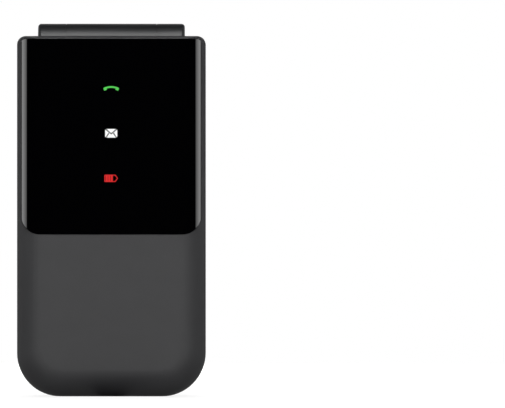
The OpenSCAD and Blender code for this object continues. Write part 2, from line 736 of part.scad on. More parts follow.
module shield_cans() color(STEEL) placed() {
    slab(can_y, chassis_y - fit) round_rect(can_w, can_z, can_z + can_h, 0.8, 0.8);
    slab(can_y, chassis_y - fit) round_rect(radio_can_w, radio_can_z, radio_can_z + radio_can_h, 0.8, 0.8);
}

// Mouth of the socket in side view: chamfers toward the lid, rounds toward the back
module usb_outline(grow) let (
        y0 = usb_y - grow, y1 = usb_y + usb_h + grow,
        z0 = usb_z - usb_w / 2 - grow, z1 = usb_z + usb_w / 2 + grow, c = 0.9, r = 0.7)
    difference() {
        translate([y0, z0]) square([y1 - y0, z1 - z0]);
        for (z = [z0, z1]) polygon([[y0 - 1, z + (z == z0 ? -1 : 1)], [y0 + c, z + (z == z0 ? -1 : 1)],
            [y0 + c, z], [y0, z + (z == z0 ? c : -c)], [y0 - 1, z + (z == z0 ? c : -c)]]);
        translate([y1, z0]) mirror([1, 0]) corner_waste(r);
        translate([y1, z1]) mirror([1, 0]) mirror([0, 1]) corner_waste(r);
    }

module usb_mouth(grow) along_x(shell_x - usb_l - 0.4, body_w) usb_outline(grow);

module usb_shell() color("#c8c9c6") placed() difference() {
    along_x(shell_x - usb_l, body_w / 2 - 0.05) usb_outline(0);
    along_x(shell_x - usb_l + usb_t, body_w) usb_outline(-usb_t);
}

module usb_tongue() color("#c7a54a") placed() box(
    [shell_x - usb_l + usb_t, body_w / 2 - 1.2], around(usb_y + usb_h / 2, 0.33), around(usb_z, usb_w / 4));

microphone_z = wall + 3.3;

module microphone() color(STEEL) placed() box(around(0, 1.5), [face_back, board_y - 0.15], around(microphone_z, 1.6));

module vibration_motor() color(STEEL) placed()
    y_cylinder(can_y, chassis_y - fit / 2, motor_r, -4 * motor_r, cavity_top_z - 3 * motor_r);

module sim_holder() color(STEEL) placed() difference() {
    slab(chassis_y - 1.2, chassis_y - fit / 4) translate([sim_x, 0]) round_rect(sim_w, sim_z, sim_z + sim_h, 0.6, 0.6);
    slab(chassis_y - 0.9, chassis_y) translate([sim_x, 0]) round_rect(
        sim_w - 3, sim_z - 2, sim_z + sim_h - 1.5, 0.4, 0.4);
}

module battery_contacts() color("#c9a648") placed() for (i = [-1:1])
    box(around(i * 2.4, 0.6), [can_y, trim_y + 1.1], [battery_z + battery_h + fit + 0.05, battery_z + battery_h + 1.6]);

module battery() color("#38393c") placed() slab(trim_y + fit, base_d - cover_t - 0.2)
    round_rect(battery_w, battery_z, battery_z + battery_h, 0.8, 0.8);

// Rear frame: plate behind the board, and a thicker rim round the battery
module rear_chassis() color(BLACK) placed() seam_cut(-seam_gap) difference() {
    union() {
        slab(chassis_y, trim_y) outline(wall + fit, body_h - cavity_top_z + fit);
        slab(trim_y, seam_y) outline(trim_w + 1 + fit, body_h - cavity_top_z + fit);
    }
    slab(trim_y, seam_y + 1) round_rect(battery_w + 0.4, battery_z - 0.2, battery_z + battery_h + 1.9, 1, 1);
    slab(chassis_y - 1, seam_y + 1) {
        translate([0, camera_z]) square(module_w + 6 * fit, center = true);
        translate([-flash_x, camera_z]) circle(flash_r + fit);
        // Window of the contacts
        translate([-4, battery_z + battery_h]) square([8, 1.8]);
    }
    usb_mouth(fit);
    chassis_screw_places() y_cylinder(0, seam_y + 1, 0.7, 0, 0);
    chassis_screw_places() y_cylinder(trim_y, seam_y + 1, 1.7, 0, 0);
}

// Bevelled silver band along the sides and bottom
module rear_trim() color(SILVER) placed() seam_cut(-seam_gap) difference() {
    loft([ring(trim_y + 0.02, 0.02, 0.02, 0), ring(trim_y + trim_w, trim_w, trim_w, 0)]);
    slab(0, seam_y) outline(trim_w + 1, body_h - cavity_top_z);
}

module hinge_cartridge() color(STEEL) placed() difference() {
    x_cylinder(-0.4, centre_w / 2 - 0.05, cartridge_r);
    x_cylinder(centre_w / 2 - 3.2, centre_w, shaft_r + pin_play);
}

// Ribbon rolled inside the bush, with a tail down to the board
module flex_cable() color("#b5742a") placed() difference() {
    union() {
        x_cylinder(-centre_w / 2 + 0.6, flex_x + flex_w, bush_r() - 0.9);
        box([flex_x, flex_x + flex_w], [1.2, 1.4], [cavity_top_z - 0.6, axis_z]);
        box([flex_x, flex_x + flex_w], [1.2, board_y], [cavity_top_z - 0.8, cavity_top_z - 0.6]);
    }
    x_cylinder(-centre_w, 0, bush_r() - 1.1);
}

module camera_module() color("#1d1d20") placed() {
    slab(can_y, seam_y - 0.6) translate([0, camera_z]) square(module_w, center = true);
    y_cylinder(seam_y - 0.7, camera_face - 0.9, 2.7, 0, camera_z);
}

camera_face = base_d - camera_sink;

module camera_ring() color(BLACK) placed() difference() {
    y_cylinder(seam_y - 0.58, camera_face, camera_r, 0, camera_z);
    y_cylinder(0, base_d, camera_r - 0.75, 0, camera_z);
}

module camera_lens() color("#24272c") placed()
    y_cylinder(camera_face - 0.7, camera_face - 0.15, camera_r - 0.77, 0, camera_z);

module flash_window() color("#eef0a8") placed() y_cylinder(can_y, base_d - flash_sink, flash_r, -flash_x, camera_z);

module antenna() color("#c9a648") placed() difference() {
    slab(can_y, can_y + 0.3) round_rect(antenna_w, bottom_r / 2, bottom_r / 2 + antenna_h, 1, antenna_h - 1);
    slab(0, base_d) round_rect(antenna_w - 4, bottom_r / 2 + 1.5, bottom_r / 2 + antenna_h - 2, 0.6, 0.6);
}

module chassis_screws() color(STEEL) placed() chassis_screw_places() {
    y_cylinder(trim_y, trim_y + 0.7, 1.4, 0, 0);
    y_cylinder(face_back + 0.6, trim_y + 0.1, 0.58, 0, 0);
}

// ---- Back cover ----

// One ring of the hollow round the camera at depth y, set in from its U-shaped edge
function scoop_ring(y, inset) = let (r = scoop_r - inset, x = scoop_x - inset, z = scoop_z + inset, top = body_h + 2)
    [for (p = concat(arc(r - x, z + r, r, 180, 270, 10), arc(x - r, z + r, r, 270, 360, 10),
                     [[scoop_top_x - inset, top], [inset - scoop_top_x, top]])) [p[0], y, p[1]]];

scoop_wall_r = (base_d - scoop_floor) / (1 - cos(45));
scoop_bend_z = scoop_z + scoop_wall_r * sin(45);

// Walls that leave the plateau at 45 degrees and curve into a floor, which bends forward at the top
module scoop() intersection() {
    loft(concat(
        [scoop_ring(scoop_lip - 3, scoop_wall_r * sin(45)), scoop_ring(scoop_floor - 0.3, scoop_wall_r * sin(45))],
        [for (a = [5:5:45]) scoop_ring(base_d - scoop_wall_r * (cos(a) - cos(45)), scoop_wall_r * (sin(45) - sin(a)))],
        [scoop_ring(base_d + 1, -1)]));
    along_x(-body_w, body_w) {
        translate([scoop_floor, 0]) square([base_d, scoop_bend_z + 0.01]);
        difference() {
            translate([0, scoop_bend_z]) square([2 * base_d, body_h]);
            let (r = arc_r(body_h - scoop_bend_z, scoop_floor - scoop_lip))
                translate([scoop_floor - r, scoop_bend_z]) circle(r, $fn = 256);
        }
    }
}

module back_cover() color(GLOSS) placed() difference() {
    intersection() {
        back_form(0);
        along_x(-body_w, body_w) heel_profile(0);
        slab(0, base_d) outline(cover_inset);
    }
    along_x(-body_w, body_w) seam_profile(seam_gap);
    difference() {
        intersection() {
            back_form(cover_t);
            along_x(-body_w, body_w) heel_profile(cover_t);
            slab(0, base_d) outline(cover_inset + cover_t, body_h - cavity_top_z);
        }
        translate([0, -1.3 * cover_t, 0]) scoop();
    }
    scoop();
    y_cylinder(0, base_d, camera_r + 0.15, 0, camera_z);
    y_cylinder(0, base_d, flash_r + 0.3, -flash_x, camera_z);
}

lid_outer_shell();
lid_glass();
icon_call();
icon_message();
icon_battery();
lid_inner_shell();
display_window();
display_panel();
earpiece_mesh();
earpiece_speaker();
lid_board();
icon_leds();
lid_screws();
lid_bumpers();
lid_magnet();
hinge_shaft();
hinge_bush();
hinge_washers();
hinge_caps();
base_front_shell();
rear_chassis();
rear_trim();
hinge_cartridge();
flex_cable();
keypad_sheet();
main_board();
shield_cans();
usb_shell();
usb_tongue();
microphone();
vibration_motor();
sim_holder();
battery_contacts();
battery();
camera_module();
camera_ring();
camera_lens();
flash_window();
antenna();
chassis_screws();
back_cover();
nav_ring();
centre_key();
soft_key(1);  // soft_key_left
soft_key(0);  // soft_key_right
for (k = PLAIN_KEYS) plain_key(k);
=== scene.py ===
"""Looks of a slim flip phone: its finishes, printed keys, lens, light and camera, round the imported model."""

import math

import bmesh
import bpy
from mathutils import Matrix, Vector


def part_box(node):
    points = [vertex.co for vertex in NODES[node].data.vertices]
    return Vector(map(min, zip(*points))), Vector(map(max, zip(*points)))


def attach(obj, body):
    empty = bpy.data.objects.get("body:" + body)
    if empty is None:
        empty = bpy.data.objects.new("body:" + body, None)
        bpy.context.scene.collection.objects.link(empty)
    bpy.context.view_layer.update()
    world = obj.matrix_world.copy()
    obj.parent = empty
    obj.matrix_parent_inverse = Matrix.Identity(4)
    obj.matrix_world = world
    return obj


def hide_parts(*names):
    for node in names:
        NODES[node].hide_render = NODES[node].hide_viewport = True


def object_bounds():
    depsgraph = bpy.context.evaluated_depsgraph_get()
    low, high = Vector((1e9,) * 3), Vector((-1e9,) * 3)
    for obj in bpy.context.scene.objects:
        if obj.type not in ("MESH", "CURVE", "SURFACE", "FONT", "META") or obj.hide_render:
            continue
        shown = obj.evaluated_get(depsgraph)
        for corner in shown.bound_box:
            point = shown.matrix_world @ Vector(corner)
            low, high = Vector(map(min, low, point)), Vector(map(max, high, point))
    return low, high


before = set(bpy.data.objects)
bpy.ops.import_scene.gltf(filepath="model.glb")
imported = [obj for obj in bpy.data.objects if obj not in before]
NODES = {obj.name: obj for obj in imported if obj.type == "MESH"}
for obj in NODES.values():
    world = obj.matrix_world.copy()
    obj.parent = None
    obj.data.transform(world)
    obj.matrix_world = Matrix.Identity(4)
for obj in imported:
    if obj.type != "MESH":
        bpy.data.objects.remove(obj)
CAD_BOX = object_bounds()
MM = 0.001
# Noise mostly lies between these
NOISE_LOW = 0.3
NOISE_HIGH = 0.7
# A range with soft ends
SOFT = {"interpolation_type": "SMOOTHSTEP"}


# ---- Helpers ----

def linear(colour):
    """An sRGB hex colour as linear red, green, blue and alpha."""
    shares = [int(colour[i:i + 2], 16) / 255 for i in (1, 3, 5)]
    return [s / 12.92 if s <= 0.04045 else ((s + 0.055) / 1.055) ** 2.4 for s in shares] + [1.0]


def add(tree, kind, settings=None, links=None):
    """Adds a node. Settings are its own properties. Links are values, sockets or nodes for its inputs, and a
    node gives its first output."""
    made = tree.nodes.new(kind)
    for name, value in (settings or {}).items():
        setattr(made, name, value)
    for name, value in (links or {}).items():
        source = value.outputs[0] if isinstance(value, bpy.types.Node) else value
        if isinstance(source, bpy.types.NodeSocket):
            tree.links.new(source, made.inputs[name])
        else:
            made.inputs[name].default_value = source
    return made


def start(name, colour, **sockets):
    """A new material with its tree and its shader, whose uniform values go on its own sockets."""
    material = bpy.data.materials.new(name)
    material.use_nodes = True
    shader = material.node_tree.nodes["Principled BSDF"]
    shader.inputs["Base Color"].default_value = linear(colour)
    for socket, value in sockets.items():
        shader.inputs[socket.replace("_", " ")].default_value = value
    return material, material.node_tree, shader


def noise(tree, size, detail=2.0, stretch=(1, 1, 1)):
    """Noise with blotches of a given size in millimetres, longer where stretch is above 1."""
    place = add(tree, "ShaderNodeTexCoord")
    scaled = add(tree, "ShaderNodeMapping", {}, {
        "Vector": place.outputs["Object"], "Scale": [1 / (size * MM * s) for s in stretch]})
    return add(tree, "ShaderNodeTexNoise", {}, {
        "Vector": scaled, "Scale": 1.0, "Detail": detail}).outputs["Fac"]


def grain(tree, shader, size, depth):
    """Raises the surface by noise of a given size, to a given depth, both in millimetres."""
    raised = add(tree, "ShaderNodeBump", {}, {
        "Height": noise(tree, size), "Distance": depth * MM, "Strength": 1.0})
    tree.links.new(raised.outputs["Normal"], shader.inputs["Normal"])


def tint(tree, shader, pattern, low, high):
    """Lets the colour wander between two near ones with a pattern that lies where noise does."""
    share = add(tree, "ShaderNodeMapRange", {}, {
        "Value": pattern, "From Min": NOISE_LOW, "From Max": NOISE_HIGH})
    colour = add(tree, "ShaderNodeMix", {"data_type": "RGBA"}, {0: share, 6: linear(low), 7: linear(high)})
    tree.links.new(colour.outputs[2], shader.inputs["Base Color"])


def roughen(tree, shader, pattern, low, high):
    """Lets the roughness wander between two near values with a pattern that lies where noise does."""
    level = add(tree, "ShaderNodeMapRange", {}, {
        "Value": pattern, "From Min": NOISE_LOW, "From Max": NOISE_HIGH, "To Min": low, "To Max": high})
    tree.links.new(level.outputs[0], shader.inputs["Roughness"])


def distance_from_axis(tree, node, axis):
    """Distance from the line through a node's middle along an axis, in metres."""
    low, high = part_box(node)
    across = [0.0 if number == axis else 1.0 for number in range(3)]
    place = add(tree, "ShaderNodeTexCoord")
    off = add(tree, "ShaderNodeVectorMath", {"operation": "SUBTRACT"}, {
        0: place.outputs["Object"], 1: (low + high) / 2})
    flat = add(tree, "ShaderNodeVectorMath", {"operation": "MULTIPLY"}, {0: off, 1: across})
    return add(tree, "ShaderNodeVectorMath", {"operation": "LENGTH"}, {0: flat}).outputs["Value"]


def turned_rings(tree, node, pitch):
    """Rings round a node's middle at a pitch in millimetres, as a pattern that lies where noise does."""
    reach = distance_from_axis(tree, node, 1)
    turns = add(tree, "ShaderNodeMath", {"operation": "MULTIPLY"}, {
        0: reach, 1: 2 * math.pi / (pitch * MM)})
    wave = add(tree, "ShaderNodeMath", {"operation": "SINE"}, {0: turns})
    return add(tree, "ShaderNodeMapRange", SOFT, {
        "Value": wave, "From Min": -1.0, "From Max": 1.0, "To Min": NOISE_LOW, "To Max": NOISE_HIGH})


def aside_depth_height(tree, vector):
    """How far a vector reaches to either side, and its Y and Z."""
    apart = add(tree, "ShaderNodeSeparateXYZ", {}, {"Vector": vector})
    aside = add(tree, "ShaderNodeMath", {"operation": "ABSOLUTE"}, {0: apart.outputs["X"]})
    return aside, apart.outputs["Y"], apart.outputs["Z"]


# ---- Finishes ----

def soft_touch_paint():
    """Soft-touch paint on moulded ABS: near black, with a broad, even sheen that makes it dark grey face on.
    The hinge barrel is painted darker: partly a darker paint, partly painted shade that stands in for the
    shade on its top."""
    material, tree, shader = start("Soft-touch paint on ABS", "#222224", Specular_IOR_Level=0.9)
    barrel_r = 4.45 * MM
    run_out = 0.15 * MM
    barrel = add(tree, "ShaderNodeMapRange", SOFT, {
        "Value": distance_from_axis(tree, "hinge_washers", 0),
        "From Min": barrel_r, "From Max": barrel_r + run_out, "To Min": 1.0, "To Max": 0.0})
    wander = add(tree, "ShaderNodeMapRange", {}, {
        "Value": noise(tree, 9, 3), "From Min": NOISE_LOW, "From Max": NOISE_HIGH})
    paint = add(tree, "ShaderNodeMix", {"data_type": "RGBA"}, {
        0: wander, 6: linear("#212123"), 7: linear("#242426")})
    # Darker on the barrel: partly its darker paint, partly painted shade for its top
    coat_with_barrel_shade = add(tree, "ShaderNodeMix", {"data_type": "RGBA"}, {
        0: barrel, 6: paint.outputs[2], 7: linear("#141517")})
    tree.links.new(coat_with_barrel_shade.outputs[2], shader.inputs["Base Color"])
    dullness = add(tree, "ShaderNodeMapRange", {}, {
        "Value": noise(tree, 4),
        "From Min": NOISE_LOW, "From Max": NOISE_HIGH, "To Min": 0.44, "To Max": 0.5})
    rough = add(tree, "ShaderNodeMix", {}, {0: barrel, 2: dullness, 3: 0.45})
    tree.links.new(rough.outputs[0], shader.inputs["Roughness"])
    # Grain of the paint: 0.05 mm in truth, drawn five times coarser so that it shows
    grain(tree, shader, 0.25, 0.004)
    return material


def moulded_abs():
    """ABS from a spark-eroded mould: near black, with a fine even grain that breaks up the light."""
    material, tree, shader = start("Spark-eroded black ABS", "#17171a", Specular_IOR_Level=0.4)
    tint(tree, shader, noise(tree, 6), "#151517", "#1a1a1c")
    roughen(tree, shader, noise(tree, 3), 0.48, 0.58)
    # Grain of the mould: 0.1 mm in truth, drawn three times coarser so that it shows
    grain(tree, shader, 0.3, 0.01)
    return material


def window_glass():
    """Chemically hardened glass over black print: pure black face on, with bright curved sides. A dull ground
    edge draws a dark line down either side."""
    material, tree, shader = start(
        "Black-backed window glass", "#020203", IOR=1.5, Specular_IOR_Level=1.0)
    low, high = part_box("lid_glass")
    ground_from = high.x - 0.22 * MM
    run_out = 0.06 * MM
    place = add(tree, "ShaderNodeTexCoord")
    aside, _, _ = aside_depth_height(tree, place.outputs["Object"])
    ground = add(tree, "ShaderNodeMapRange", SOFT, {
        "Value": aside, "From Min": ground_from, "From Max": ground_from + run_out})
    polish = add(tree, "ShaderNodeMapRange", {}, {
        "Value": noise(tree, 14, 3),
        "From Min": NOISE_LOW, "From Max": NOISE_HIGH, "To Min": 0.015, "To Max": 0.035})
    rough = add(tree, "ShaderNodeMix", {}, {0: ground, 2: polish, 3: 0.7})
    tree.links.new(rough.outputs[0], shader.inputs["Roughness"])
    return material


def lit_icon(name, colour, strength):
    """Clear resin lit from behind: its own colour, even and bright, over slight moulding waves."""
    material, tree, shader = start(name, "#101010", Roughness=0.25, Emission_Strength=strength)
    shader.inputs["Emission Color"].default_value = linear(colour)
    grain(tree, shader, 0.5, 0.002)
    return material


def display_glass():
    """Polished acrylic over a dark display: black print at the rim, and a hint of blue-grey further in."""
    material, tree, shader = start("Display window acrylic", "#050506", IOR=1.49)
    low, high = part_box("display_panel")
    centre = (low + high) / 2
    half = (high - low) / 2
    rim = 1.2 * MM
    place = add(tree, "ShaderNodeTexCoord")
    apart = add(tree, "ShaderNodeSeparateXYZ", {}, {"Vector": place.outputs["Object"]})
    inside = []
    for axis, label in ((0, "X"), (2, "Z")):
        off = add(tree, "ShaderNodeMath", {"operation": "SUBTRACT"}, {
            0: apart.outputs[label], 1: centre[axis]})
        size = add(tree, "ShaderNodeMath", {"operation": "ABSOLUTE"}, {0: off})
        inside.append(add(tree, "ShaderNodeMath", {"operation": "LESS_THAN"}, {
            0: size, 1: half[axis] - rim}))
    both = add(tree, "ShaderNodeMath", {"operation": "MULTIPLY"}, {0: inside[0], 1: inside[1]})
    colour = add(tree, "ShaderNodeMix", {"data_type": "RGBA"}, {
        0: both, 6: linear("#040405"), 7: linear("#14171c")})
    tree.links.new(colour.outputs[2], shader.inputs["Base Color"])
    roughen(tree, shader, noise(tree, 12), 0.03, 0.05)
    return material


def display_layer():
    """Laminated display panel: dark blue-grey polariser with a faint silky sheen."""
    material, tree, shader = start("Display polariser", "#33363b", Roughness=0.3)
    tint(tree, shader, noise(tree, 8), "#303338", "#373a40")
    return material


def brushed_steel():
    """Stainless steel sheet, fine brushed: neutral grey with short streaks along the part."""
    material, tree, shader = start("Fine brushed stainless steel", "#9a9c9e", Metallic=1.0)
    # Brush lines: 0.05 mm in truth, drawn 0.3 mm wide so that they show
    streaks = noise(tree, 0.3, 3, (12, 1, 1))
    tint(tree, shader, streaks, "#8f9193", "#a5a7a9")
    roughen(tree, shader, streaks, 0.28, 0.42)
    return material


def moulded_nylon():
    """Glass-filled nylon, moulded: charcoal grey, dry and faintly mottled."""
    material, tree, shader = start("Glass-filled nylon", "#2a2a2c")
    tint(tree, shader, noise(tree, 1.5), "#252527", "#303033")
    roughen(tree, shader, noise(tree, 0.8), 0.5, 0.65)
    return material


def solder_resist():
    """Green solder resist over copper: glossy dark green, lighter where tracks run under it."""
    material, tree, shader = start("Solder resist over copper", "#1f5a3a", Roughness=0.3)
    place = add(tree, "ShaderNodeTexCoord")
    # Joints 0.29 mm wide between cells of 0.6 by 0.3 mm stand for the tracks
    cells = add(tree, "ShaderNodeTexBrick", {"offset": 0.5}, {
        "Vector": place.outputs["Object"], "Scale": 1 / (1.2 * MM), "Mortar Size": 0.12,
        "Color1": linear("#1c5236"), "Color2": linear("#1f5a3a"), "Mortar": linear("#2f7a50")})
    tree.links.new(cells.outputs["Color"], shader.inputs["Base Color"])
    return material


def led_resin():
    """Clear epoxy over an LED chip: milky pale yellow, smooth."""
    material, tree, shader = start("LED epoxy", "#e9e7d8", Roughness=0.2)
    tint(tree, shader, noise(tree, 0.6), "#e2dfcc", "#efeee2")
    return material


def moulded_rubber():
    """Silicone rubber, moulded: black, dull, with dusty grain."""
    material, tree, shader = start("Moulded silicone rubber", "#202021", Specular_IOR_Level=0.3)
    tint(tree, shader, noise(tree, 1), "#1c1c1d", "#262628")
    roughen(tree, shader, noise(tree, 0.5), 0.65, 0.8)
    return material


def satin_silver_lacquer():
    """Satin silver lacquer with aluminium flakes: light grey and silky, darker where it mirrors dark."""
    material, tree, shader = start("Satin silver lacquer", "#c9cacb", Metallic=0.4)
    # Flakes: 0.03 mm in truth, drawn at 0.25 mm so that they show
    flakes = noise(tree, 0.25)
    tint(tree, shader, flakes, "#c6c8c9", "#cdced0")
    roughen(tree, shader, noise(tree, 2), 0.28, 0.33)
    return material


def polyimide_film():
    """Polyimide film over copper tracks: amber, smooth, with darker lines along it."""
    material, tree, shader = start("Polyimide flex film", "#b5742a", Roughness=0.3)
    tint(tree, shader, noise(tree, 0.4, 1, (1, 8, 8)), "#9c6020", "#bf8036")
    return material


def dome_film():
    """Polyester dome film: off-white, matt, slightly uneven."""
    material, tree, shader = start("Polyester dome film", "#c9c4b4", Roughness=0.5)
    tint(tree, shader, noise(tree, 3), "#c2bdac", "#d0ccbe")
    return material


def nickel_plate():
    """Nickel-plated steel, drawn: pale warm silver, bright but not quite a mirror."""
    material, tree, shader = start("Nickel-plated steel", "#d2d1cc", Metallic=1.0)
    roughen(tree, shader, noise(tree, 1.5), 0.16, 0.26)
    return material


def gold_plate():
    """Gold flash over nickel: soft yellow, bright, with slight wipe marks."""
    material, tree, shader = start("Gold-plated contact", "#c9a648", Metallic=1.0)
    roughen(tree, shader, noise(tree, 0.6, 2, (6, 1, 1)), 0.28, 0.36)
    return material


def battery_wrap():
    """Printed polyester wrap on the battery: dark grey, half matt."""
    material, tree, shader = start("Battery wrap", "#38393c", Roughness=0.42)
    tint(tree, shader, noise(tree, 5), "#35363a", "#3c3d41")
    return material


def coated_lens():
    """Coated lens glass: black in its middle, with a deep violet-blue bloom that grows towards its rim."""
    material, tree, shader = start(
        "Coated lens glass", "#06070b", Roughness=0.02, IOR=1.6, Coat_Weight=1.0)
    shader.inputs["Coat Tint"].default_value = linear("#9fb4ff")
    bloom = add(tree, "ShaderNodeMapRange", SOFT, {
        "Value": distance_from_axis(tree, "camera_lens", 1),
        "From Min": 0.2 * MM, "From Max": 1.1 * MM, "To Min": NOISE_LOW, "To Max": NOISE_HIGH})
    tint(tree, shader, bloom, "#020204", "#232a48")
    return material


def lens_barrel():
    """Black anodised baffle with turned steps: near black, with bright arcs where its rings catch light, and a
    painted highlight on its raised rings and painted shade in the hollows between them.
    """
    material, tree, shader = start("Black anodised baffle", "#101013", Metallic=0.3)
    # Turned rings: 0.1 mm apart in truth, drawn 0.28 mm apart so that they show
    ring_relief_and_shade = turned_rings(tree, "camera_lens", 0.28)
    # Painted highlight and shade: the raised rings are coloured lighter and the hollows between them darker
    tint(tree, shader, ring_relief_and_shade, "#0b0b0d", "#1d1d21")
    raised = add(tree, "ShaderNodeBump", {}, {"Height": ring_relief_and_shade, "Distance": 0.02 * MM, "Strength": 1.0})
    tree.links.new(raised.outputs["Normal"], shader.inputs["Normal"])
    roughen(tree, shader, noise(tree, 1), 0.28, 0.34)
    return material


def flash_resin():
    """Clear resin over yellow phosphor: white round the rim, greenish yellow at the chip. It has a painted
    glow in the same colours, though the flash is not lit.
    """
    # The emission is a painted glow: the flash is not lit
    material, tree, shader = start(
        "Flash resin over phosphor, with painted glow", "#f2f1c4", Roughness=0.25, Coat_Weight=0.6, Emission_Strength=0.25)
    low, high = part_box("flash_window")
    centre = (low + high) / 2
    chip = Vector((centre.x + 0.4 * MM, high.y, centre.z - 0.2 * MM))
    place = add(tree, "ShaderNodeTexCoord")
    reach = add(tree, "ShaderNodeVectorMath", {"operation": "DISTANCE"}, {
        0: place.outputs["Object"], 1: chip})
    share = add(tree, "ShaderNodeMapRange", {}, {
        "Value": reach.outputs["Value"], "From Min": 0.3 * MM, "From Max": 1.5 * MM})
    colour = add(tree, "ShaderNodeMix", {"data_type": "RGBA"}, {
        0: share, 6: linear("#d9dc6a"), 7: linear("#f4f3e2")})
    tree.links.new(colour.outputs[2], shader.inputs["Base Color"])
    # Painted glow: the flash gives off a little light in its own colours though it is not lit
    tree.links.new(colour.outputs[2], shader.inputs["Emission Color"])
    return material


def piano_black_abs():
    """ABS from a mirror-polished mould: deep black, with a clear gloss whose sharpness varies a little."""
    material, tree, shader = start("Piano-black ABS", "#030304", IOR=1.5)
    roughen(tree, shader, noise(tree, 10, 3), 0.05, 0.09)
    return material


def key_plastic():
    """Moulded ABS key caps: dark grey, with a fine matt grain."""
    material, tree, shader = start("Matt moulded key ABS", "#333436", Specular_IOR_Level=0.4)
    tint(tree, shader, noise(tree, 5), "#303133", "#363739")
    roughen(tree, shader, noise(tree, 2), 0.36, 0.44)
    # Grain of the caps: 0.05 mm in truth, drawn five times coarser so that it shows
    grain(tree, shader, 0.25, 0.006)
    return material


def ring_lacquer():
    """Satin silver lacquer on the direction ring: mid grey metal with a turned sheen."""
    material, tree, shader = start("Turned satin lacquer", "#a2a4a6", Metallic=0.45)
    # Turning marks: rings 0.08 mm apart in truth, drawn 0.3 mm apart so that they show
    marks = turned_rings(tree, "nav_ring", 0.3)
    tint(tree, shader, marks, "#9da0a2", "#a9abad")
    roughen(tree, shader, noise(tree, 2), 0.3, 0.36)
    return material


def key_print():
    """White ink on the keys: flat and dull, hardly raised, with a faint mottle."""
    material, tree, shader = start("White key print", "#e8e8e6", Roughness=0.6)
    tint(tree, shader, noise(tree, 0.6), "#e2e2e0", "#eeeeec")
    return material


def call_print(name, colour):
    """Coloured ink on the call key or the end key: plain and dull, with a faint grain."""
    material, tree, shader = start(name, colour, Roughness=0.55)
    # Grain of the ink: 0.05 mm in truth, drawn six times coarser so that it shows
    grain(tree, shader, 0.3, 0.003)
    return material


FINISHES = {
    "soft_touch_grey": soft_touch_paint(),
    "black_moulding": moulded_abs(),
    "window_black": window_glass(),
    "icon_green": lit_icon("Green lit resin", "#4ec84e", 1.0),
    "icon_white": lit_icon("White lit resin", "#ffffff", 1.0),
    "icon_red": lit_icon("Red lit resin", "#d81a1a", 1.0),
    "display_black": display_glass(),
    "display_layer": display_layer(),
    "steel": brushed_steel(),
    "moulded_part": moulded_nylon(),
    "circuit_board": solder_resist(),
    "led_body": led_resin(),
    "soft_rubber": moulded_rubber(),
    "silver_paint": satin_silver_lacquer(),
    "flex_film": polyimide_film(),
    "dome_sheet": dome_film(),
    "socket_metal": nickel_plate(),
    "gold_contact": gold_plate(),
    "battery_case": battery_wrap(),
    "lens_glass": coated_lens(),
    "flash_diffuser": flash_resin(),
    "piano_black": piano_black_abs(),
    "key_grey": key_plastic(),
    "ring_silver": ring_lacquer(),
}


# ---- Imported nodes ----

# Facets that meet at a smaller angle are shaded as one
SHARP = math.radians(28)


def smoother():
    """A modifier's tree that joins a CAD mesh's facets and shades them as one, except across sharp edges."""
    tree = bpy.data.node_groups.new("Smooth facets", "GeometryNodeTree")
    tree.interface.new_socket("Geometry", in_out="INPUT", socket_type="NodeSocketGeometry")
    tree.interface.new_socket("Geometry", in_out="OUTPUT", socket_type="NodeSocketGeometry")
    source = tree.nodes.new("NodeGroupInput")
    plain = add(tree, "GeometryNodeRemoveAttribute", {}, {"Geometry": source, "Name": "custom_normal"})
    joined = add(tree, "GeometryNodeMergeByDistance", {}, {"Geometry": plain, "Distance": 0.0005 * MM})
    angle = add(tree, "GeometryNodeInputMeshEdgeAngle")
    nearly_flat = add(tree, "FunctionNodeCompare", {"data_type": "FLOAT", "operation": "LESS_THAN"}, {
        0: angle.outputs["Unsigned Angle"], 1: SHARP})
    faces = add(tree, "GeometryNodeSetShadeSmooth", {"domain": "FACE"}, {
        "Geometry": joined, "Shade Smooth": True})
    edges = add(tree, "GeometryNodeSetShadeSmooth", {"domain": "EDGE"}, {
        "Geometry": faces, "Shade Smooth": nearly_flat})
    result = tree.nodes.new("NodeGroupOutput")
    tree.links.new(edges.outputs[0], result.inputs[0])
    return tree


SMOOTHER = smoother()


def dress(node):
    """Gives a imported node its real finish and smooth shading."""
    for place in node.material_slots:
        place.material = FINISHES[place.material.name]
    node.modifiers.new("Smooth facets", "NODES").node_group = SMOOTHER
    # Large faces lead the shading, so that slivers along a cut don't bend the reflections
    leading = node.modifiers.new("Face-weighted normals", "WEIGHTED_NORMAL")
    leading.keep_sharp = True
    leading.weight = 100


for packed in NODES.values():
    dress(packed)


# ---- Camera optics ----

def turned(name, profile, node, material):
    """A turned piece round a node's middle, whose axis runs along Y. The profile is a loop of radius and
    depth behind the node's outer face, in millimetres."""
    low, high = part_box(node)
    mesh = bpy.data.meshes.new(name)
    shape = bmesh.new()
    steps = 72
    rows = []
    for number in range(steps):
        turn = 2 * math.pi * number / steps
        rows.append([shape.verts.new((
            (low.x + high.x) / 2 + radius * MM * math.cos(turn), high.y - depth * MM,
            (low.z + high.z) / 2 + radius * MM * math.sin(turn))) for radius, depth in profile])
    count = len(profile)
    for number in range(steps):
        here, there = rows[number], rows[(number + 1) % steps]
        for k in range(count):
            shape.faces.new((here[k], here[(k + 1) % count], there[(k + 1) % count], there[k]))
    bmesh.ops.remove_doubles(shape, verts=shape.verts, dist=1e-7)
    bmesh.ops.recalc_face_normals(shape, faces=shape.faces)
    shape.to_mesh(mesh)
    shape.free()
    mesh.shade_smooth()
    mesh.set_sharp_from_angle(angle=math.radians(25))
    mesh.materials.append(material)
    piece = bpy.data.objects.new(name, mesh)
    bpy.context.scene.collection.objects.link(piece)
    return piece


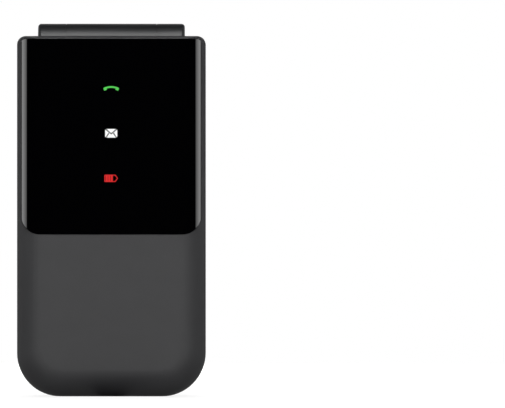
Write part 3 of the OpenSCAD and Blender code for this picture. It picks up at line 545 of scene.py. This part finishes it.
def camera_optics():
    """Cover ring, stepped baffle and domed front element, in the place of the plain lens disc."""
    ring = [
        (3.05, 0.5), (3.05, 0.05), (3.0, 0.0), (2.62, 0.0), (2.55, 0.06), (2.5, 0.2), (2.0, 0.24),
        (1.96, 0.31), (1.55, 0.35), (1.5, 0.26), (1.34, 0.22), (1.24, 0.26), (1.2, 0.4), (1.2, 0.5)]
    baffle = turned("camera_baffle", ring, "camera_lens", lens_barrel())
    bore_r, dome_r, dome_foot, dome_rise, back = 1.2, 1.19, 0.38, 0.3, 0.5
    slopes = [math.radians(a) for a in range(0, 91, 9)]
    dome = [(bore_r, 0.42)]
    dome += [(dome_r * math.cos(a), dome_foot - dome_rise * math.sin(a)) for a in slopes]
    dome += [(0.0, back), (bore_r, back)]
    element = turned("camera_front_element", dome, "camera_lens", FINISHES["lens_glass"])
    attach(baffle, "base")
    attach(element, "base")
    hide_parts("camera_lens")


# ---- Printed key marks ----

def printed(name, outline, body, node, material, centre=(0.0, 0.0)):
    """Ink on a key's front face. The outline is a curve or text whose X and Y are across and up."""
    half_ink = 0.01 * MM
    # The ink's middle lies this far before the face, so that its back is seated in it
    proud = 0.008 * MM
    outline.dimensions = "2D"
    outline.fill_mode = "BOTH"
    outline.extrude = half_ink
    low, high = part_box(node)
    draft = bpy.data.objects.new(name + "_outline", outline)
    bpy.context.scene.collection.objects.link(draft)
    bpy.context.view_layer.update()
    mesh = bpy.data.meshes.new_from_object(draft.evaluated_get(bpy.context.evaluated_depsgraph_get()))
    bpy.data.objects.remove(draft)
    for corner in mesh.vertices:
        across, up, out = corner.co
        corner.co = (
            (low.x + high.x) / 2 + centre[0] * MM + across,
            low.y - proud - out,
            (low.z + high.z) / 2 + centre[1] * MM + up)
    mesh.materials.clear()
    mesh.materials.append(material)
    piece = bpy.data.objects.new(name, mesh)
    bpy.context.scene.collection.objects.link(piece)
    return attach(piece, body)


def sign(text, height):
    """One digit or sign, as a text curve centred on its origin."""
    words = bpy.data.curves.new("sign", "FONT")
    words.body = text
    words.size = height * MM
    words.align_x = "CENTER"
    words.align_y = "CENTER"
    # Makes the strokes a little bolder
    words.offset = 0.02 * MM
    return words


def shape_of(loops):
    """A filled outline from loops of points in millimetres."""
    outline = bpy.data.curves.new("shape", "CURVE")
    for loop in loops:
        line = outline.splines.new("POLY")
        line.points.add(len(loop) - 1)
        for point, (x, y) in zip(line.points, loop):
            point.co = (x * MM, y * MM, 0.0, 1.0)
        line.use_cyclic_u = True
    return outline


def arc(radius, first, last, count, middle=(0.0, 0.0)):
    """Points along an arc, from one angle to another in degrees."""
    angles = [math.radians(first + (last - first) * i / count) for i in range(count + 1)]
    return [(middle[0] + radius * math.cos(a), middle[1] + radius * math.sin(a)) for a in angles]


def spun(outline, degrees):
    """An outline turned about its origin."""
    turn = math.radians(degrees)
    return [
        (x * math.cos(turn) - y * math.sin(turn), x * math.sin(turn) + y * math.cos(turn))
        for x, y in outline]


def handset():
    """A receiver seen from its side: a bent bar with a foot at either end."""
    bend = (0, -2.9)
    lower = arc(3.6, 128, 52, 12, bend)
    upper = arc(4.5, 125, 55, 12, bend)
    right_foot = [(2.9, 0.0), (2.75, -0.55), (1.65, -0.75), (1.5, -0.2)]
    left_foot = [(-x, y) for x, y in reversed(right_foot)]
    return upper + right_foot + lower[::-1] + left_foot


def delete_sign():
    """An arrow box that points back, with a cross in it."""
    box = [(-2.6, 0.0), (-1.2, 1.3), (2.4, 1.3), (2.4, -1.3), (-1.2, -1.3)]
    inside = [(-2.1, 0.0), (-1.05, 0.95), (2.05, 0.95), (2.05, -0.95), (-1.05, -0.95)]
    arm, side, middle = 0.6, 0.42, 0.18
    quarter = [(-arm, side), (-side, arm), (0, middle)]
    cross = [(x + 0.6, y) for turn in (0, -90, -180, -270) for x, y in spun(quarter, turn)]
    return [box, inside, cross]


def key_marks():
    """Digits on the number keys, and plain signs on the others."""
    white = key_print()
    green = call_print("Green print", "#35c24a")
    red = call_print("Red print", "#d8302c")
    dark = moulded_abs()
    digit_h = 7.4
    signs = {f"key_{digit}": str(digit) for digit in range(10)}
    signs.update({"key_star": "*", "key_hash": "#"})
    for node, text in signs.items():
        # The star sits high in its line, so it comes down to the key's middle
        lift = -1.1 if text == "*" else 0.0
        printed(node + "_print", sign(text, digit_h), node, node, white, (0.0, lift))
    printed("call_key_print", shape_of([spun(handset(), 38)]), "call_key", "call_key", green)
    printed("end_key_print", shape_of([handset()]), "end_key", "end_key", red)
    printed("clear_key_print", shape_of(delete_sign()), "clear_key", "clear_key", white)
    dash = [(-1.5, -0.16), (1.5, -0.16), (1.5, 0.16), (-1.5, 0.16)]
    for side, across in (("left", -2.6), ("right", 2.6)):
        node = "soft_key_" + side
        printed(node + "_print", shape_of([dash]), node, node, white, (across, 6.0))
    circle = [arc(1.5, 0, 350, 35), arc(1.2, 0, 350, 35)]
    printed("centre_key_print", shape_of(circle), "centre_key", "centre_key", white)
    arrow = [(8.6, 0.0), (7.7, 0.85), (7.7, -0.85)]
    for number in range(4):
        name = f"nav_ring_print_{number + 1}"
        printed(name, shape_of([spun(arrow, 90 * number)]), "nav_ring", "nav_ring", dark)


camera_optics()
key_marks()


# ---- Light, floor and camera ----

def softbox(name, place, aim, width, height, power):
    """A rectangular diffused lamp that faces a point. Gloss sees the studio's lines and bands instead."""
    light = bpy.data.lights.new(name, "AREA")
    light.shape = "RECTANGLE"
    light.size = width
    light.size_y = height
    light.energy = power
    lamp = bpy.data.objects.new(name, light)
    lamp.location = place
    lamp.rotation_euler = (Vector(aim) - Vector(place)).to_track_quat("-Z", "Y").to_euler()
    lamp.visible_camera = False
    lamp.visible_glossy = False
    bpy.context.scene.collection.objects.link(lamp)


# Strength of the white surroundings that matt surfaces are lit by
AMBIENT = 0.22
# The phone's middle, which the broad lights face
MIDDLE = Vector((0, 0, 0.055))


def seen_rays(tree):
    """Tells rays of the camera and through clear pieces, which see plain white, and the gloss's rays."""
    ray = add(tree, "ShaderNodeLightPath")
    direct = add(tree, "ShaderNodeMath", {"operation": "MAXIMUM"}, {
        0: ray.outputs["Is Camera Ray"], 1: ray.outputs["Is Transmission Ray"]})
    return direct, ray.outputs["Is Glossy Ray"]


def sine(degrees):
    return math.sin(math.radians(degrees))


def line_of_light(tree, height, middle, inner, outer, level):
    """A slim level line of light: its middle's elevation, and where its soft edge begins and ends beside it,
    in degrees."""
    off = add(tree, "ShaderNodeMath", {"operation": "SUBTRACT"}, {0: height, 1: sine(middle)})
    near = add(tree, "ShaderNodeMath", {"operation": "ABSOLUTE"}, {0: off})
    return add(tree, "ShaderNodeMapRange", SOFT, {
        "Value": near, "From Min": sine(inner), "From Max": sine(outer), "To Min": level, "To Max": 0.0})


def horizon_lines(tree, aside, depth, height):
    """Two slim lines at the horizon, dark straight ahead and bright towards the sides. Polished edges catch
    them, and a broad sheen hardly does."""
    front = add(tree, "ShaderNodeMapRange", SOFT, {
        "Value": aside, "From Min": sine(7), "From Max": sine(14), "To Min": 0.0, "To Max": 0.8})
    bright = add(tree, "ShaderNodeMapRange", SOFT, {
        "Value": aside, "From Min": sine(16), "From Max": sine(62), "To Min": 0.0, "To Max": 1.9})
    ahead = add(tree, "ShaderNodeMath", {"operation": "ADD"}, {0: front, 1: bright})
    dim = add(tree, "ShaderNodeMapRange", SOFT, {
        "Value": aside, "From Min": sine(68), "From Max": sine(84), "To Min": 1.0, "To Max": 0.22})
    dimmed = add(tree, "ShaderNodeMath", {"operation": "MULTIPLY"}, {0: ahead, 1: dim})
    # Behind the phone only the sides are bright
    behind = add(tree, "ShaderNodeMapRange", SOFT, {
        "Value": aside, "From Min": sine(55), "From Max": sine(80), "To Min": 0.08, "To Max": 2.0})
    rear_half = add(tree, "ShaderNodeMapRange", SOFT, {
        "Value": depth, "From Min": -0.2, "From Max": 0.0, "To Min": 0.0, "To Max": 1.0})
    round_about = add(tree, "ShaderNodeMix", {}, {0: rear_half, 2: dimmed, 3: behind})
    upper = line_of_light(tree, height, 0.4, 0.8, 1.3, 1.0)
    lower = line_of_light(tree, height, -3, 1.0, 1.6, 0.4)
    lines = add(tree, "ShaderNodeMath", {"operation": "ADD"}, {0: upper, 1: lower})
    return add(tree, "ShaderNodeMath", {"operation": "MULTIPLY"}, {0: round_about, 1: lines})


def raised_bands(tree, aside, depth, height):
    """A band of light 20 to 32 degrees up in front, weaker behind and at the sides, and dark overhead."""
    rise = add(tree, "ShaderNodeMapRange", SOFT, {
        "Value": height, "From Min": sine(3), "From Max": sine(20), "To Min": 0.0, "To Max": 1.0})
    fall = add(tree, "ShaderNodeMapRange", SOFT, {
        "Value": height, "From Min": sine(32), "From Max": sine(60), "To Min": 3.3, "To Max": 0.12})
    up = add(tree, "ShaderNodeMath", {"operation": "MULTIPLY"}, {0: rise, 1: fall})
    ends = add(tree, "ShaderNodeMapRange", SOFT, {
        "Value": aside, "From Min": 0.08, "From Max": 0.3, "To Min": 2.0, "To Max": 0.0})
    front_half = add(tree, "ShaderNodeMapRange", SOFT, {
        "Value": depth, "From Min": -0.1, "From Max": 0.1, "To Min": 1.0, "To Max": 0.1})
    fore = add(tree, "ShaderNodeMath", {"operation": "MULTIPLY"}, {0: ends, 1: front_half})
    flanks = add(tree, "ShaderNodeMapRange", SOFT, {
        "Value": aside, "From Min": 0.4, "From Max": 0.65, "To Min": 0.0, "To Max": 0.17})
    round_about = add(tree, "ShaderNodeMath", {"operation": "ADD"}, {0: fore, 1: flanks})
    return add(tree, "ShaderNodeMath", {"operation": "MULTIPLY"}, {0: up, 1: round_about})


def studio():
    """White surroundings for the eye, softer white ones for matt surfaces, and for the gloss a dark room with
    lines and bands of light."""
    world = bpy.data.worlds.new("Studio")
    bpy.context.scene.world = world
    world.use_nodes = True
    tree = world.node_tree
    background = tree.nodes["Background"]
    place = add(tree, "ShaderNodeTexCoord")
    way = aside_depth_height(tree, place.outputs["Generated"])
    gloss = add(tree, "ShaderNodeMath", {"operation": "ADD"}, {
        0: horizon_lines(tree, *way), 1: raised_bands(tree, *way)})
    direct, glossy = seen_rays(tree)
    mirrored = add(tree, "ShaderNodeMix", {}, {0: glossy, 2: AMBIENT, 3: gloss})
    strength = add(tree, "ShaderNodeMix", {}, {0: direct, 2: mirrored, 3: 1.0})
    tree.links.new(strength.outputs[0], background.inputs["Strength"])
    background.inputs["Color"].default_value = linear("#ffffff")


def paper_floor():
    """Matt paper lit to white: it keeps the phone's soft shadow. Gloss sees it dark in front, and lighter at
    the sides."""
    material, tree, shader = start("White studio paper", "#9a9a9a", Roughness=0.9, Specular_IOR_Level=0.0)
    place = add(tree, "ShaderNodeTexCoord")
    reach = add(tree, "ShaderNodeVectorMath", {"operation": "LENGTH"}, {
        0: place.outputs["Object"]}).outputs["Value"]
    aside, _, _ = aside_depth_height(tree, place.outputs["Object"])
    turn = add(tree, "ShaderNodeMath", {"operation": "DIVIDE"}, {0: aside, 1: reach})
    slanting = add(tree, "ShaderNodeMapRange", SOFT, {
        "Value": turn, "From Min": 0.35, "From Max": 0.6, "To Min": 0.0, "To Max": 0.2})
    close_by = add(tree, "ShaderNodeMapRange", SOFT, {
        "Value": reach, "From Min": 0.2, "From Max": 0.35, "To Min": 1.0, "To Max": 0.0})
    near = add(tree, "ShaderNodeMath", {"operation": "MULTIPLY"}, {0: slanting, 1: close_by})
    beside = add(tree, "ShaderNodeMapRange", SOFT, {
        "Value": turn, "From Min": sine(55), "From Max": sine(80), "To Min": 0.0, "To Max": 0.4})
    sides = add(tree, "ShaderNodeMath", {"operation": "MAXIMUM"}, {0: beside, 1: near})
    direct, glossy = seen_rays(tree)
    mirrored = add(tree, "ShaderNodeMath", {"operation": "MULTIPLY"}, {0: glossy, 1: sides})
    level = add(tree, "ShaderNodeMath", {"operation": "MAXIMUM"}, {0: direct, 1: mirrored})
    # Weaker near the phone, where the lamps light the paper too
    outwards = add(tree, "ShaderNodeMapRange", SOFT, {
        "Value": reach, "From Min": 0.1, "From Max": 0.5, "To Min": 0.72, "To Max": 1.0})
    strength = add(tree, "ShaderNodeMath", {"operation": "MULTIPLY"}, {0: level, 1: outwards})
    tree.links.new(strength.outputs[0], shader.inputs["Emission Strength"])
    shader.inputs["Emission Color"].default_value = linear("#ffffff")
    paper = add(tree, "ShaderNodeMix", {"data_type": "RGBA"}, {
        0: glossy, 6: linear("#9a9a9a"), 7: linear("#3c3c3c")})
    tree.links.new(paper.outputs[2], shader.inputs["Base Color"])
    bpy.ops.mesh.primitive_circle_add(vertices=96, radius=0.6, fill_type="NGON")
    floor = bpy.context.object
    floor.name = "paper_floor"
    floor.data.materials.append(material)


def broad_light(name, side):
    """A wide softbox above and in front of the phone, or behind it where side is 1."""
    reach = 0.62
    height = 0.5
    softbox(name, (0, side * reach, height), MIDDLE, width=0.8, height=0.34, power=4.6)


def strip_light(name, azimuth):
    """A tall narrow softbox that lights one side of the phone."""
    reach = 0.8
    height = 0.32
    turn = math.radians(azimuth)
    place = (reach * math.sin(turn), -reach * math.cos(turn), height)
    softbox(name, place, (0, 0, height), width=0.25, height=0.6, power=2.4)


def view_from_photo():
    """A long lens straight in front, which places the phone where the photograph's front view has it."""
    # In pixels: the picture, the outline's two sides, its middle and its foot
    photo_w, photo_h = 505, 408
    left_x, right_x = 17.3, 205.4
    middle_x, foot_y = 111.68, 395.85
    pixel = (CAD_BOX[1].x - CAD_BOX[0].x) / (right_x - left_x)
    distance = 3.0
    # The outline that the pixels were read from lies this far behind the front face
    outline_depth = 10.5 * MM
    camera = bpy.data.cameras.new("Camera")
    camera.sensor_width = 36.0
    camera.lens = camera.sensor_width * (distance + outline_depth) / (photo_w * pixel)
    camera.clip_end = 20.0
    eye = bpy.data.objects.new("Camera", camera)
    eye.location = (
        (photo_w / 2 - middle_x) * pixel, CAD_BOX[0].y - distance, (foot_y - photo_h / 2) * pixel)
    eye.rotation_euler = (math.pi / 2, 0, 0)
    bpy.context.scene.collection.objects.link(eye)
    bpy.context.scene.camera = eye


studio()
paper_floor()
broad_light("Front softbox", -1)
broad_light("Back softbox", 1)
for number, angle in enumerate((-112, 112)):
    strip_light(f"Side light {number + 1}", angle)
view_from_photo()
bpy.context.scene.view_settings.view_transform = "Standard"
